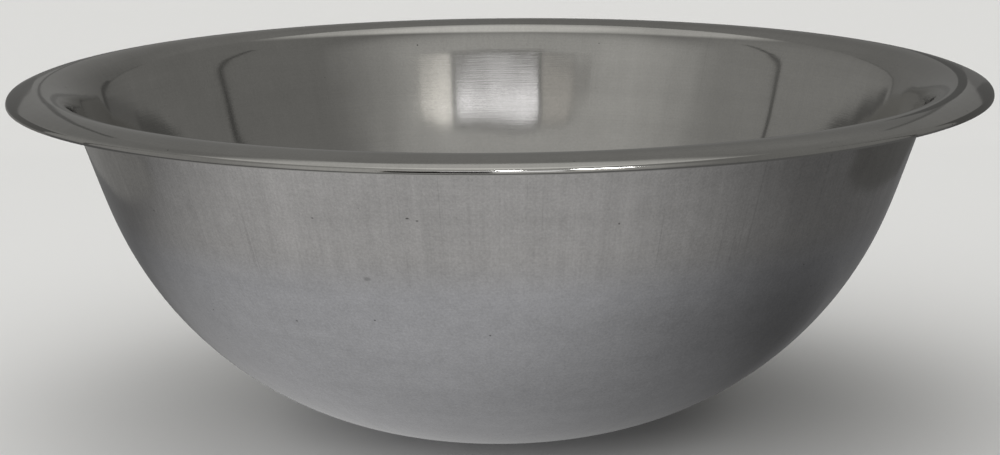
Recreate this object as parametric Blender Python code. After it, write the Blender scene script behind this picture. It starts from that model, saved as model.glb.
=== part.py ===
"""Mixing bowl: one disc of stainless steel sheet, deep drawn and spun.

Flat base, a wall swept in one arc, a short straight neck, a rolled shoulder, a flange
that slopes down and out, and an edge turned down and slightly in.
Metres, +Z up, origin at the centre of the base's under face.
"""
import math

import bmesh
import bpy

# Driving dimensions of the bowl
RIM_RADIUS = 0.225
HEIGHT = 0.161
SHEET = 0.0007

# Flat base and the soft corner round it
BASE_RADIUS = 0.046
CORNER_RADIUS = 0.012
CORNER_ANGLE = math.radians(8.2)

# Wall: one arc that ends in a straight neck
WALL_RADIUS = 0.1675
NECK_ANGLE = math.radians(70.5)

# Shoulder that rolls over from the neck, and the gently arched flange outside it
SHOULDER_RADIUS = 0.0151
SHOULDER_END_ANGLE = math.radians(5.0)
FLANGE_RADIUS = 0.033

# Edge turned down: the turn's inner radius, and the angle at which the sheet stops
EDGE_RADIUS = 0.0019
EDGE_END_ANGLE = math.radians(104.0)

# Fineness of the turned surface
SEGMENTS = 64
CORNER_STEPS = 2
WALL_STEPS = 12
SHOULDER_STEPS = 6
FLANGE_STEPS = 4
EDGE_STEPS = 5


def arc(centre, radius, start, end, steps):
    """Points on an arc, told by the angle its outward side leans from straight up."""
    points = []
    for step in range(steps + 1):
        lean = start + (end - start) * step / steps
        points.append((centre[0] + radius * math.sin(lean), centre[1] + radius * math.cos(lean)))
    return points


def section_centres():
    """Centres of the section's arcs, and how far the flange leans where the edge turns down."""
    corner = (BASE_RADIUS, CORNER_RADIUS)
    reach = CORNER_RADIUS - WALL_RADIUS
    wall = (
        corner[0] + reach * math.sin(CORNER_ANGLE),
        corner[1] - reach * math.cos(CORNER_ANGLE),
    )
    wall_end_r = wall[0] + WALL_RADIUS * math.sin(NECK_ANGLE)
    wall_end_z = wall[1] - WALL_RADIUS * math.cos(NECK_ANGLE)
    shoulder_z = HEIGHT - SHEET - SHOULDER_RADIUS
    neck_end_z = shoulder_z + SHOULDER_RADIUS * math.cos(NECK_ANGLE)
    neck_end_r = wall_end_r + (neck_end_z - wall_end_z) / math.tan(NECK_ANGLE)
    shoulder = (neck_end_r + SHOULDER_RADIUS * math.sin(NECK_ANGLE), shoulder_z)
    reach = SHOULDER_RADIUS - FLANGE_RADIUS
    flange = (
        shoulder[0] + reach * math.sin(SHOULDER_END_ANGLE),
        shoulder[1] + reach * math.cos(SHOULDER_END_ANGLE),
    )
    edge_r = RIM_RADIUS - SHEET - EDGE_RADIUS
    reach = FLANGE_RADIUS - EDGE_RADIUS
    flange_lean = math.asin((edge_r - flange[0]) / reach)
    edge = (edge_r, flange[1] + reach * math.cos(flange_lean))
    return corner, wall, shoulder, flange, edge, flange_lean


def face_outline(depth):
    """One face of the sheet from base to edge; depth 0 is the outside, SHEET the inside."""
    corner, wall, shoulder, flange, edge, flange_lean = section_centres()
    up = math.pi
    outline = arc(corner, CORNER_RADIUS - depth, up, up - CORNER_ANGLE, CORNER_STEPS)
    outline += arc(wall, WALL_RADIUS - depth, up - CORNER_ANGLE, up - NECK_ANGLE, WALL_STEPS)[1:]
    outline += arc(shoulder, SHOULDER_RADIUS + depth, -NECK_ANGLE, SHOULDER_END_ANGLE, SHOULDER_STEPS)
    outline += arc(flange, FLANGE_RADIUS + depth, SHOULDER_END_ANGLE, flange_lean, FLANGE_STEPS)[1:]
    outline += arc(edge, EDGE_RADIUS + depth, flange_lean, EDGE_END_ANGLE, EDGE_STEPS)[1:]
    return outline


def steel_material():
    """Plain bright stainless steel."""
    material = bpy.data.materials.new("steel")
    material.use_nodes = True
    shader = material.node_tree.nodes["Principled BSDF"]
    shader.inputs["Base Color"].default_value = (0.60, 0.60, 0.59, 1.0)
    shader.inputs["Metallic"].default_value = 1.0
    shader.inputs["Roughness"].default_value = 0.28
    return material


def build_bowl():
    """Turn the sheet's section into the bowl as one closed body."""
    outside = face_outline(0.0)
    inside = face_outline(SHEET)
    section = outside + inside[::-1]
    body = bmesh.new()
    under_centre = body.verts.new((0.0, 0.0, 0.0))
    floor_centre = body.verts.new((0.0, 0.0, SHEET))
    rings = []
    for radius, height in section:
        ring = []
        for segment in range(SEGMENTS):
            turn = 2.0 * math.pi * segment / SEGMENTS
            ring.append(body.verts.new((radius * math.cos(turn), radius * math.sin(turn), height)))
        rings.append(ring)
    for segment in range(SEGMENTS):
        following = (segment + 1) % SEGMENTS
        body.faces.new((under_centre, rings[0][following], rings[0][segment]))
        body.faces.new((floor_centre, rings[-1][segment], rings[-1][following]))
        for lower, upper in zip(rings, rings[1:]):
            body.faces.new((lower[segment], lower[following], upper[following], upper[segment]))
    mesh = bpy.data.meshes.new("bowl")
    body.to_mesh(mesh)
    body.free()
    for polygon in mesh.polygons:
        polygon.use_smooth = True
    mesh.set_sharp_from_angle(angle=math.radians(40.0))
    mesh.materials.append(steel_material())
    bowl = bpy.data.objects.new("bowl", mesh)
    bpy.context.scene.collection.objects.link(bowl)


def clear_scene():
    """Start from an empty scene."""
    for thing in list(bpy.data.objects):
        bpy.data.objects.remove(thing, do_unlink=True)


clear_scene()
build_bowl()
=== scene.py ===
"""Looks for the mixing bowl: a finely turned bowl in satin stainless steel on a pale floor."""
import math

import bmesh
import bpy
from mathutils import Matrix, Vector


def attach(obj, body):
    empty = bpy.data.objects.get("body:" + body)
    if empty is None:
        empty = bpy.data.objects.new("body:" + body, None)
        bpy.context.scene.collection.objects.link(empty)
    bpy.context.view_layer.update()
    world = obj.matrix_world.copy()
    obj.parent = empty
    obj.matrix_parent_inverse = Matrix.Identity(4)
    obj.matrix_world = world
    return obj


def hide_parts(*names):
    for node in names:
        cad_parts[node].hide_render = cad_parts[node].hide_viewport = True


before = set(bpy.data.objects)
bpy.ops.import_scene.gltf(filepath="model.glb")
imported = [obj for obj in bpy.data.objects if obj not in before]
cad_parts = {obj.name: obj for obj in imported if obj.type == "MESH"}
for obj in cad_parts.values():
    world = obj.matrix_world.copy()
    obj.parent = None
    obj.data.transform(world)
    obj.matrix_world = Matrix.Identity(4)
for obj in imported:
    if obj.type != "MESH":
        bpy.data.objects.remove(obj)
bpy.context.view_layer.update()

# ---------------------------------------------------------------- sizes of the bowl, in metres
RIM_RADIUS = 0.225
HEIGHT = 0.161
SHEET = 0.0007
BASE_RADIUS = 0.046
CORNER_RADIUS = 0.012
CORNER_ANGLE = math.radians(8.2)
WALL_RADIUS = 0.1675
NECK_ANGLE = math.radians(70.5)
SHOULDER_RADIUS = 0.0151
SHOULDER_END_ANGLE = math.radians(5.0)
FLANGE_RADIUS = 0.033
EDGE_RADIUS = 0.0019
EDGE_END_ANGLE = math.radians(104.0)

# Fineness of the turned surface
SEGMENTS = 240
SUBSTEPS = 12
SHARP_ANGLE = math.radians(40.0)


# ---------------------------------------------------------------- the turned sheet
def stretches():
    """The section's stretches from the base's middle to the edge: length, curvature, steps and ease.

    A positive curvature turns the sheet upwards. The ease is half the length over which the
    curvature changes from the stretch before, so that no bend starts abruptly.
    """
    reach = CORNER_RADIUS - WALL_RADIUS
    wall_r = BASE_RADIUS + reach * math.sin(CORNER_ANGLE)
    wall_z = CORNER_RADIUS - reach * math.cos(CORNER_ANGLE)
    neck_foot_z = wall_z - WALL_RADIUS * math.cos(NECK_ANGLE)
    shoulder_z = HEIGHT - SHEET - SHOULDER_RADIUS
    neck_rise = shoulder_z + SHOULDER_RADIUS * math.cos(NECK_ANGLE) - neck_foot_z
    neck_top_r = wall_r + WALL_RADIUS * math.sin(NECK_ANGLE) + neck_rise / math.tan(NECK_ANGLE)
    shoulder_r = neck_top_r + SHOULDER_RADIUS * math.sin(NECK_ANGLE)
    flange_r = shoulder_r + (SHOULDER_RADIUS - FLANGE_RADIUS) * math.sin(SHOULDER_END_ANGLE)
    edge_r = RIM_RADIUS - SHEET - EDGE_RADIUS
    flange_lean = math.asin((edge_r - flange_r) / (FLANGE_RADIUS - EDGE_RADIUS))

    def bend(radius, angle, steps, ease):
        return (radius * abs(angle), math.copysign(1.0 / radius, angle), steps, ease)

    return (
        (BASE_RADIUS, 0.0, 7, 0.0),
        bend(CORNER_RADIUS, CORNER_ANGLE, 8, 0.0008),
        bend(WALL_RADIUS, NECK_ANGLE - CORNER_ANGLE, 60, 0.0008),
        (neck_rise / math.sin(NECK_ANGLE), 0.0, 20, 0.014),
        bend(SHOULDER_RADIUS, -NECK_ANGLE - SHOULDER_END_ANGLE, 32, 0.006),
        bend(FLANGE_RADIUS, SHOULDER_END_ANGLE - flange_lean, 14, 0.004),
        bend(EDGE_RADIUS, flange_lean - EDGE_END_ANGLE, 20, 0.00025),
    )


def ramp(distance, ease):
    """Zero before a place and the distance past it after it, rounded off over the ease on both sides."""
    if distance <= -ease:
        return 0.0
    if distance >= ease:
        return distance
    return (distance + ease) ** 2 / (4.0 * ease)


def faces():
    """The sheet's outer and inner face, each as points from the base to the edge."""
    parts = stretches()
    changes = []
    start = curvature = 0.0
    for length, new_curvature, _, ease in parts:
        changes.append((start, new_curvature - curvature, ease))
        start += length
        curvature = new_curvature

    def heading(along):
        """How steeply the sheet climbs at a distance along it."""
        return sum(change * ramp(along - place, ease) for place, change, ease in changes)

    outside, inside = [], []
    along = radius = height = 0.0
    for length, _, steps, _ in parts:
        for _ in range(steps):
            move = length / steps / SUBSTEPS
            for _ in range(SUBSTEPS):
                climb = heading(along + move / 2.0)
                radius += move * math.cos(climb)
                height += move * math.sin(climb)
                along += move
            climb = heading(along)
            outside.append((radius, height))
            inside.append((radius - SHEET * math.sin(climb), height + SHEET * math.cos(climb)))
    widen = RIM_RADIUS / max(point[0] for point in inside)
    stretch = HEIGHT / max(point[1] for point in inside)
    return [[(r * widen, z * stretch) for r, z in face] for face in (outside, inside)]


def outside_radius(height):
    """The radius of the outer face at a height on the wall."""
    outside = faces()[0]
    for (low_r, low_z), (high_r, high_z) in zip(outside, outside[1:]):
        if low_z <= height < high_z:
            return low_r + (high_r - low_r) * (height - low_z) / (high_z - low_z)
    raise ValueError("no wall at that height")


def build_bowl(outside_material, inside_material):
    """Turn the sheet's section into one closed body, its outer face and its inner face named."""
    outside, inside = faces()
    section = outside + inside[::-1]
    last_outside = len(outside) - 1
    body = bmesh.new()
    under_centre = body.verts.new((0.0, 0.0, 0.0))
    floor_centre = body.verts.new((0.0, 0.0, SHEET))
    rings = []
    for radius, height in section:
        ring = []
        for segment in range(SEGMENTS):
            turn = 2.0 * math.pi * segment / SEGMENTS
            ring.append(body.verts.new((radius * math.cos(turn), radius * math.sin(turn), height)))
        rings.append(ring)
    for segment in range(SEGMENTS):
        following = (segment + 1) % SEGMENTS
        body.faces.new((under_centre, rings[0][following], rings[0][segment]))
        body.faces.new((floor_centre, rings[-1][segment], rings[-1][following])).material_index = 1
        for number, (lower, upper) in enumerate(zip(rings, rings[1:])):
            corners = (lower[segment], lower[following], upper[following], upper[segment])
            body.faces.new(corners).material_index = 0 if number < last_outside else 1
    mesh = bpy.data.meshes.new("mixing_bowl")
    body.to_mesh(mesh)
    body.free()
    for polygon in mesh.polygons:
        polygon.use_smooth = True
    mesh.set_sharp_from_angle(angle=SHARP_ANGLE)
    mesh.materials.append(outside_material)
    mesh.materials.append(inside_material)
    bowl = bpy.data.objects.new("mixing_bowl", mesh)
    bpy.context.scene.collection.objects.link(bowl)
    return bowl


# ---------------------------------------------------------------- material
class Nodes:
    """Short hand for wiring a node tree."""

    def __init__(self, tree):
        self.tree = tree

    def put(self, socket, value):
        if isinstance(value, bpy.types.NodeSocket):
            self.tree.links.new(value, socket)
        else:
            socket.default_value = value

    def node(self, kind, output, *values, **settings):
        """A node of one kind with its settings and its first inputs, and one output of it."""
        node = self.tree.nodes.new("ShaderNode" + kind)
        for setting, value in settings.items():
            setattr(node, setting, value)
        for socket, value in zip(node.inputs, values):
            self.put(socket, value)
        return node.outputs[output]

    def math(self, operation, *values):
        return self.node("Math", 0, *values, operation=operation)

    def vector(self, operation, *values, output="Vector"):
        return self.node("VectorMath", output, *values, operation=operation)

    def noise(self, vector, scale, detail, roughness):
        """Noise from about -0.5 to 0.5."""
        node = self.tree.nodes.new("ShaderNodeTexNoise")
        self.put(node.inputs["Vector"], vector)
        node.inputs["Scale"].default_value = scale
        node.inputs["Detail"].default_value = detail
        node.inputs["Roughness"].default_value = roughness
        return self.math("SUBTRACT", node.outputs["Fac"], 0.5)

    def fade(self, value, low, high, to_low=0.0, to_high=1.0):
        """Ease from one level to another as the value goes from low to high."""
        ends = (low, high, to_low, to_high)
        return self.node("MapRange", "Result", value, *ends, interpolation_type="SMOOTHSTEP")

    def grey(self, value):
        """A vector with the same value three times."""
        return self.node("CombineXYZ", "Vector", value, value, value)

    def mix_colour(self, factor, first, second):
        node = self.tree.nodes.new("ShaderNodeMix")
        node.data_type = "RGBA"
        self.put(node.inputs[0], factor)
        self.put(node.inputs[6], first)
        self.put(node.inputs[7], second)
        return node.outputs[2]

    def bump(self, height, distance, strength, normal=None):
        node = self.tree.nodes.new("ShaderNodeBump")
        node.inputs["Strength"].default_value = strength
        node.inputs["Distance"].default_value = distance
        self.put(node.inputs["Height"], height)
        if normal is not None:
            self.put(node.inputs["Normal"], normal)
        return node.outputs["Normal"]


def new_material(name):
    material = bpy.data.materials.new(name)
    material.use_nodes = True
    return material, Nodes(material.node_tree), material.node_tree.nodes["Principled BSDF"]


# Three pits and a smear on the outside: degrees round from the front, height, reach, darkness
PITS = (
    (-11.5, 0.1305, 0.0009, 1.0),
    (-10.3, 0.1295, 0.0008, 0.9),
    (-24.0, 0.1285, 0.0008, 0.8),
    (-17.9, 0.1025, 0.0022, 0.4),
)
PIT_SQUAT = 1.8
PIT_COLOUR = (0.03, 0.028, 0.026, 1.0)
# The marks of drawing are strong above this height and weak below it
DRAWN_ABOVE = 0.104
SMOOTHEST = 0.06


def steel(name, high_tint, low_tint, roughness, drawing, speckle, waviness, pits=()):
    """Stainless sheet: marks of drawing run up the neck, polishing lines run round the bowl.

    Drawing, speckle and waviness say how strong each kind of unevenness is.
    """
    material, n, shader = new_material(name)
    place = n.node("TexCoord", "Object")
    level_place = n.vector("MULTIPLY", place, (1.0, 1.0, 0.0))
    from_axis = n.vector("LENGTH", level_place, output="Value")
    around = n.vector("DIVIDE", level_place, n.grey(n.math("MAXIMUM", from_axis, BASE_RADIUS)))
    height = n.node("SeparateXYZ", "Z", place)
    run = n.math("ADD", height, from_axis)

    def stretched(round_rate, up_rate):
        """Coordinates for noise that changes round_rate times as fast round and up_rate times up."""
        up = n.node("CombineXYZ", "Vector", 0.0, 0.0, n.math("MULTIPLY", run, up_rate))
        return n.vector("ADD", n.vector("MULTIPLY", around, (round_rate, round_rate, 0.0)), up)

    neck = n.fade(height, DRAWN_ABOVE - 0.012, DRAWN_ABOVE + 0.010)
    fine_streak = n.noise(stretched(210.0, 16.0), 1.0, 3.0, 0.6)
    broad_streak = n.noise(stretched(38.0, 6.0), 1.0, 3.0, 0.55)
    scored = n.fade(n.noise(stretched(150.0, 9.0), 1.0, 1.0, 0.4), 0.20, 0.27)
    polish_line = n.noise(stretched(5.0, 2000.0), 1.0, 3.0, 0.65)
    band = n.noise(stretched(0.8, 46.0), 1.0, 2.0, 0.5)
    grain = n.noise(place, 950.0, 2.0, 0.6)
    mottle = n.noise(place, 150.0, 4.0, 0.62)
    cloud = n.noise(place, 15.0, 3.0, 0.5)

    streaks = n.math("MULTIPLY", fine_streak, 0.17 * drawing)
    streaks = n.math("MULTIPLY_ADD", broad_streak, 0.20 * drawing, streaks)
    streaks = n.math("MULTIPLY_ADD", scored, -0.12 * drawing, streaks)
    mark = n.math("MULTIPLY", streaks, n.fade(neck, 0.0, 1.0, 0.22, 1.0))
    mark = n.math("MULTIPLY_ADD", grain, 0.55 * speckle, mark)
    mark = n.math("MULTIPLY_ADD", mottle, 0.30 * speckle, mark)
    mark = n.math("MULTIPLY_ADD", polish_line, 0.12, mark)
    tone = n.math("MULTIPLY_ADD", cloud, 0.24, mark)
    tone = n.math("MULTIPLY_ADD", band, 0.20, tone)

    # Specks are few: most cells of the pattern hold none
    cell = n.tree.nodes.new("ShaderNodeTexVoronoi")
    cell.inputs["Scale"].default_value = 210.0
    n.put(cell.inputs["Vector"], place)
    rare = n.fade(n.node("SeparateXYZ", "X", cell.outputs["Color"]), 0.955, 0.965)
    speck = n.math("MULTIPLY", n.fade(cell.outputs["Distance"], 0.05, 0.11, 1.0, 0.0), rare)
    squat_place = n.vector("MULTIPLY", place, (1.0, 1.0, PIT_SQUAT))
    for bearing, pit_height, reach, dark in pits:
        turn = math.radians(bearing)
        pit_radius = outside_radius(pit_height)
        aim = (pit_radius * math.sin(turn), -pit_radius * math.cos(turn), pit_height * PIT_SQUAT)
        apart = n.vector("DISTANCE", squat_place, aim, output="Value")
        speck = n.math("MAXIMUM", speck, n.fade(apart, 0.35 * reach, reach, dark, 0.0))

    # The tint changes at the neck. On the outside, the bluer tint below it is a painted reflection tint
    # for the cool tone that the lower wall mirrors
    tint = n.mix_colour(neck, low_tint + (1.0,), high_tint + (1.0,))
    worn = n.vector("MULTIPLY", tint, n.grey(n.math("ADD", tone, 1.0)))
    specked = n.mix_colour(n.math("MULTIPLY", speck, 0.8), worn, PIT_COLOUR)
    n.put(shader.inputs["Base Color"], specked)
    shader.inputs["Metallic"].default_value = 1.0
    rough = n.math("MULTIPLY_ADD", mark, -0.25, roughness)
    rough = n.math("MULTIPLY_ADD", cloud, 0.08, rough)
    n.put(shader.inputs["Roughness"], n.math("MAXIMUM", rough, SMOOTHEST))

    # The broad ripple leaves the rim nearly smooth, and the base quite smooth
    ripple = n.noise(stretched(7.0, 9.0), 1.0, 1.0, 0.4)
    ripple = n.math("MULTIPLY", ripple, n.fade(height, 0.146, 0.156, 1.0, 0.12))
    ripple = n.math("MULTIPLY", ripple, n.fade(from_axis, 0.02, 0.10))
    normal = n.bump(ripple, 0.0012, waviness)
    lines = n.math("MULTIPLY_ADD", fine_streak, 0.7 * drawing, polish_line)
    normal = n.bump(n.math("SUBTRACT", lines, speck), 0.00002, 0.3, normal)
    n.put(shader.inputs["Normal"], normal)
    return material


# ---------------------------------------------------------------- bowl
outer_steel = steel(
    "steel_outside",
    high_tint=(0.468, 0.460, 0.450),
    # A painted reflection tint: slightly bluer, for the cool tone that the lower wall mirrors
    low_tint=(0.453, 0.455, 0.467),
    roughness=0.13,
    drawing=1.0,
    speckle=0.75,
    waviness=0.5,
    pits=PITS,
)
inner_steel = steel(
    "steel_inside",
    high_tint=(0.468, 0.462, 0.444),
    low_tint=(0.468, 0.462, 0.446),
    roughness=0.08,
    drawing=0.3,
    speckle=0.3,
    waviness=0.6,
)
bowl = build_bowl(outer_steel, inner_steel)
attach(bowl, "root")
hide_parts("bowl")


# ---------------------------------------------------------------- studio
def panel(name, points, material):
    """A flat sheet with the given corners."""
    mesh = bpy.data.meshes.new(name)
    mesh.from_pydata(points, [], [range(len(points))])
    mesh.materials.append(material)
    sheet = bpy.data.objects.new(name, mesh)
    bpy.context.scene.collection.objects.link(sheet)
    return sheet


def rectangle(corner, across, up):
    corner, across, up = Vector(corner), Vector(across), Vector(up)
    return [corner, corner + across, corner + across + up, corner + up]


def glow(name, colour):
    """A material that only gives off its own tone."""
    material, _, shader = new_material(name)
    shader.inputs["Base Color"].default_value = (0.0, 0.0, 0.0, 1.0)
    shader.inputs["Specular IOR Level"].default_value = 0.0
    shader.inputs["Emission Color"].default_value = colour + (1.0,)
    shader.inputs["Emission Strength"].default_value = 1.0
    return material


def card(name, points, colour):
    """A studio card that the camera doesn't see: the steel mirrors it, and the floor ignores it."""
    sheet = panel(name, points, glow(name, colour))
    sheet.visible_camera = False
    sheet.visible_diffuse = False
    sheet.visible_shadow = False
    return sheet


def grey(level):
    """The room's slightly warm grey."""
    return (level, 0.99 * level, 0.96 * level)


def card_nodes(sheet):
    """A card's node tree, the place on the card, and the socket for its strength."""
    tree = sheet.data.materials[0].node_tree
    n = Nodes(tree)
    return n, n.node("TexCoord", "Object"), tree.nodes["Principled BSDF"].inputs["Emission Strength"]


# The pale floor, and just under it the tones that the steel mirrors instead of it: a pool of light
# before the bowl, a fainter one behind it and a shade at its right
floor_pale, _, floor_shader = new_material("floor_pale")
floor_shader.inputs["Base Color"].default_value = (0.80, 0.80, 0.79, 1.0)
floor_shader.inputs["Roughness"].default_value = 0.7
floor = panel("floor", rectangle((-6, -6, 0), (12, 0, 0), (0, 12, 0)), floor_pale)
floor.visible_glossy = False

FRONT_POOL = (-0.13, -0.33, 0.0)
BACK_POOL = (0.0, 0.50, 0.0)
SHADE = (0.11, -0.07, 0.0)
floor_tone = card("floor_tone", rectangle((-3, -3, -0.001), (6, 0, 0), (0, 6, 0)), (1.0, 0.995, 0.995))
n, spot, strength = card_nodes(floor_tone)
tone = 0.15
for centre, inner, outer, gain in (
    (FRONT_POOL, 0.14, 0.54, 0.43),
    (BACK_POOL, 0.05, 0.36, 0.24),
    (SHADE, 0.03, 0.20, -0.17),
):
    apart = n.vector("DISTANCE", spot, centre, output="Value")
    tone = n.math("ADD", n.fade(apart, inner, outer, gain, 0.0), tone)
n.put(strength, tone)

# Behind the bowl: a grey rounded card, a dark edge to its lower sides, and a dark strip at its right
BACKDROP_Y = 0.75
LOWER_SIDE = ((0.28, 0.16), (0.31, 0.27), (0.40, 0.48), (0.49, 0.72))
UPPER_SIDE = ((0.53, 0.95), (0.45, 1.25), (0.27, 1.47))


def backdrop(half_outline, grow, y):
    """Both sides of an outline, each moved out by the growth."""
    right = [(x + grow, y, z) for x, z in half_outline]
    return right + [(-x, y, z) for x, y, z in reversed(right)]


card("backdrop_edge", backdrop(LOWER_SIDE, 0.018, BACKDROP_Y), grey(0.13))
back_card = card("backdrop", backdrop(LOWER_SIDE + UPPER_SIDE, 0.0, BACKDROP_Y - 0.005), grey(1.0))
n, spot, strength = card_nodes(back_card)
low_tone = n.fade(n.node("SeparateXYZ", "X", spot), -0.2, 0.4, 0.225, 0.185)
rise = n.fade(n.node("SeparateXYZ", "Z", spot), 0.45, 0.95)
n.put(strength, n.math("MULTIPLY_ADD", n.math("SUBTRACT", 0.25, low_tone), rise, low_tone))
strip = rectangle((0.305, BACKDROP_Y - 0.01, 0.16), (0.055, 0, 0), (0, 0, 0.24))
card("backdrop_strip", strip, grey(0.10))

# Beside it: standing cards in two tones, a paler low one at the left, a low one that joins them
# behind, and two thin posts
SIDE_X = 0.36
SIDE_HEIGHT = 0.262
SIDE_MIDDLE = 0.54
SIDE_END = 0.74
for name, side, near_tone, far_tone in (("right", 1, 0.105, 0.15), ("left", -1, 0.13, 0.13)):
    x = side * SIDE_X
    rise = (0, 0, SIDE_HEIGHT)
    card("side_near_" + name, rectangle((x, 0, 0), (0, SIDE_MIDDLE, 0), rise), grey(near_tone))
    far = rectangle((x, SIDE_MIDDLE, 0), (0, SIDE_END - SIDE_MIDDLE, 0), rise)
    card("side_far_" + name, far, grey(far_tone))
card("side_low_left", rectangle((-SIDE_X + 0.004, 0, 0), (0, SIDE_END, 0), (0, 0, 0.13)), grey(0.24))
card("low_back", rectangle((-SIDE_X, SIDE_END, 0), (2.0 * SIDE_X, 0, 0), (0, 0, 0.222)), grey(0.15))
for name, x, tone in (("right", 1.3, 0.08), ("left", -1.3, 0.12)):
    card("post_" + name, rectangle((x, 0.145, 0), (0, 0.05, 0), (0, 0, 1.5)), grey(tone))

# On the camera's side: a window with its frame
WINDOW_Y = -1.45
WINDOW_FOOT = 0.70
surround = rectangle((-0.73, WINDOW_Y, WINDOW_FOOT), (1.48, 0, 0), (0, 0, 0.50))
card("window_frame", surround, grey(0.30))


def pane(name, left, right, top, colour):
    """A part of the window, told by its sides and its top edge."""
    corner = (left, WINDOW_Y + 0.01, WINDOW_FOOT)
    card(name, rectangle(corner, (right - left, 0, 0), (0, 0, top - WINDOW_FOOT)), colour)


pane("window_middle", -0.35, 0.345, 1.11, (1.46, 1.45, 1.49))
pane("window_near", 0.415, 0.73, 1.165, (1.15, 1.12, 1.06))
pane("window_far", -0.70, -0.42, 1.165, (0.58, 0.56, 0.53))


# Close before the bowl: small bright cards for the light line on the lip, and a dark one for its left
LIP_Y = -0.45
LIP_GLARE = (22.0, 22.0, 22.0)


def lip_lamp(name, x, width):
    """A small bright card over and before the front of the rim."""
    card(name, rectangle((x, LIP_Y, 0.40), (width, 0, 0), (0, 0.012, 0.04)), LIP_GLARE)


lip_lamp("lamp_middle", -0.002, 0.03)
lip_lamp("lamp_right", 0.11, 0.10)
card("lip_shade", rectangle((-0.16, LIP_Y, 0.18), (0.15, 0, 0), (0, 0, 0.13)), grey(0.02))

# An even soft light from above, for the floor and the bowl's shadow on it
above = bpy.data.lights.new("above", "SUN")
above.energy = 1.8
above.angle = math.radians(110.0)
above_lamp = bpy.data.objects.new("above", above)
above_lamp.rotation_euler = (math.radians(16.0), math.radians(-12.0), 0.0)
above_lamp.visible_glossy = False
bpy.context.scene.collection.objects.link(above_lamp)


def dome():
    """The room's own soft light: from above, from the camera's side and a little from the left.

    A patch behind at the right is slightly dimmer.
    """
    world = bpy.data.worlds.new("studio")
    world.use_nodes = True
    n = Nodes(world.node_tree)
    ray = n.vector("NORMALIZE", n.node("TexCoord", "Generated"))

    def towards(azimuth, elevation):
        """How far the ray leans to a direction, 1 when it points there."""
        turn, lift = math.radians(azimuth), math.radians(elevation)
        aim = (math.sin(turn) * math.cos(lift), -math.cos(turn) * math.cos(lift), math.sin(lift))
        return n.vector("DOT_PRODUCT", ray, aim, output="Value")

    ceiling = n.fade(towards(200.0, 78.0), 0.845, 0.925, 0.0, 0.40)
    overhead = n.fade(towards(0.0, 90.0), 0.93, 0.99, 0.0, 0.27)
    wall = n.fade(towards(-8.0, 28.0), 0.53, 0.95, 0.0, 0.31)
    left = n.fade(towards(-90.0, 10.0), 0.40, 0.95, 0.0, 0.10)
    dim = n.fade(towards(150.0, 0.0), 0.90, 0.985, 0.0, -0.035)
    upper = n.math("ADD", ceiling, overhead)
    sides = n.math("ADD", left, dim)
    tone = n.math("ADD", upper, n.math("ADD", sides, n.math("ADD", wall, 0.23)))
    background = world.node_tree.nodes["Background"]
    background.inputs["Color"].default_value = grey(1.0) + (1.0,)
    n.put(background.inputs["Strength"], tone)
    return world


bpy.context.scene.world = dome()
bpy.context.scene.view_settings.view_transform = "Standard"

# ---------------------------------------------------------------- camera
CAMERA_DISTANCE = 6.0 * RIM_RADIUS
CAMERA_ELEVATION = math.radians(8.27)
CAMERA_ROLL = math.radians(0.561)
AIM = Vector((-0.0005, 0.0, HEIGHT - 0.3168 * RIM_RADIUS))
place = Vector(
    (
        0.0,
        -CAMERA_DISTANCE * math.cos(CAMERA_ELEVATION),
        HEIGHT + CAMERA_DISTANCE * math.sin(CAMERA_ELEVATION),
    )
)
back = (place - AIM).normalized()
level = Vector((0.0, 0.0, 1.0)).cross(back).normalized()
upright = back.cross(level)
right = level * math.cos(CAMERA_ROLL) - upright * math.sin(CAMERA_ROLL)
top = level * math.sin(CAMERA_ROLL) + upright * math.cos(CAMERA_ROLL)
turned = Matrix((right, top, back)).transposed().to_4x4()
camera_data = bpy.data.cameras.new("camera")
camera_data.sensor_width = 36.0
camera_data.lens = 105.4
camera = bpy.data.objects.new("camera", camera_data)
camera.matrix_world = Matrix.Translation(place) @ turned
bpy.context.scene.collection.objects.link(camera)
bpy.context.scene.camera = camera
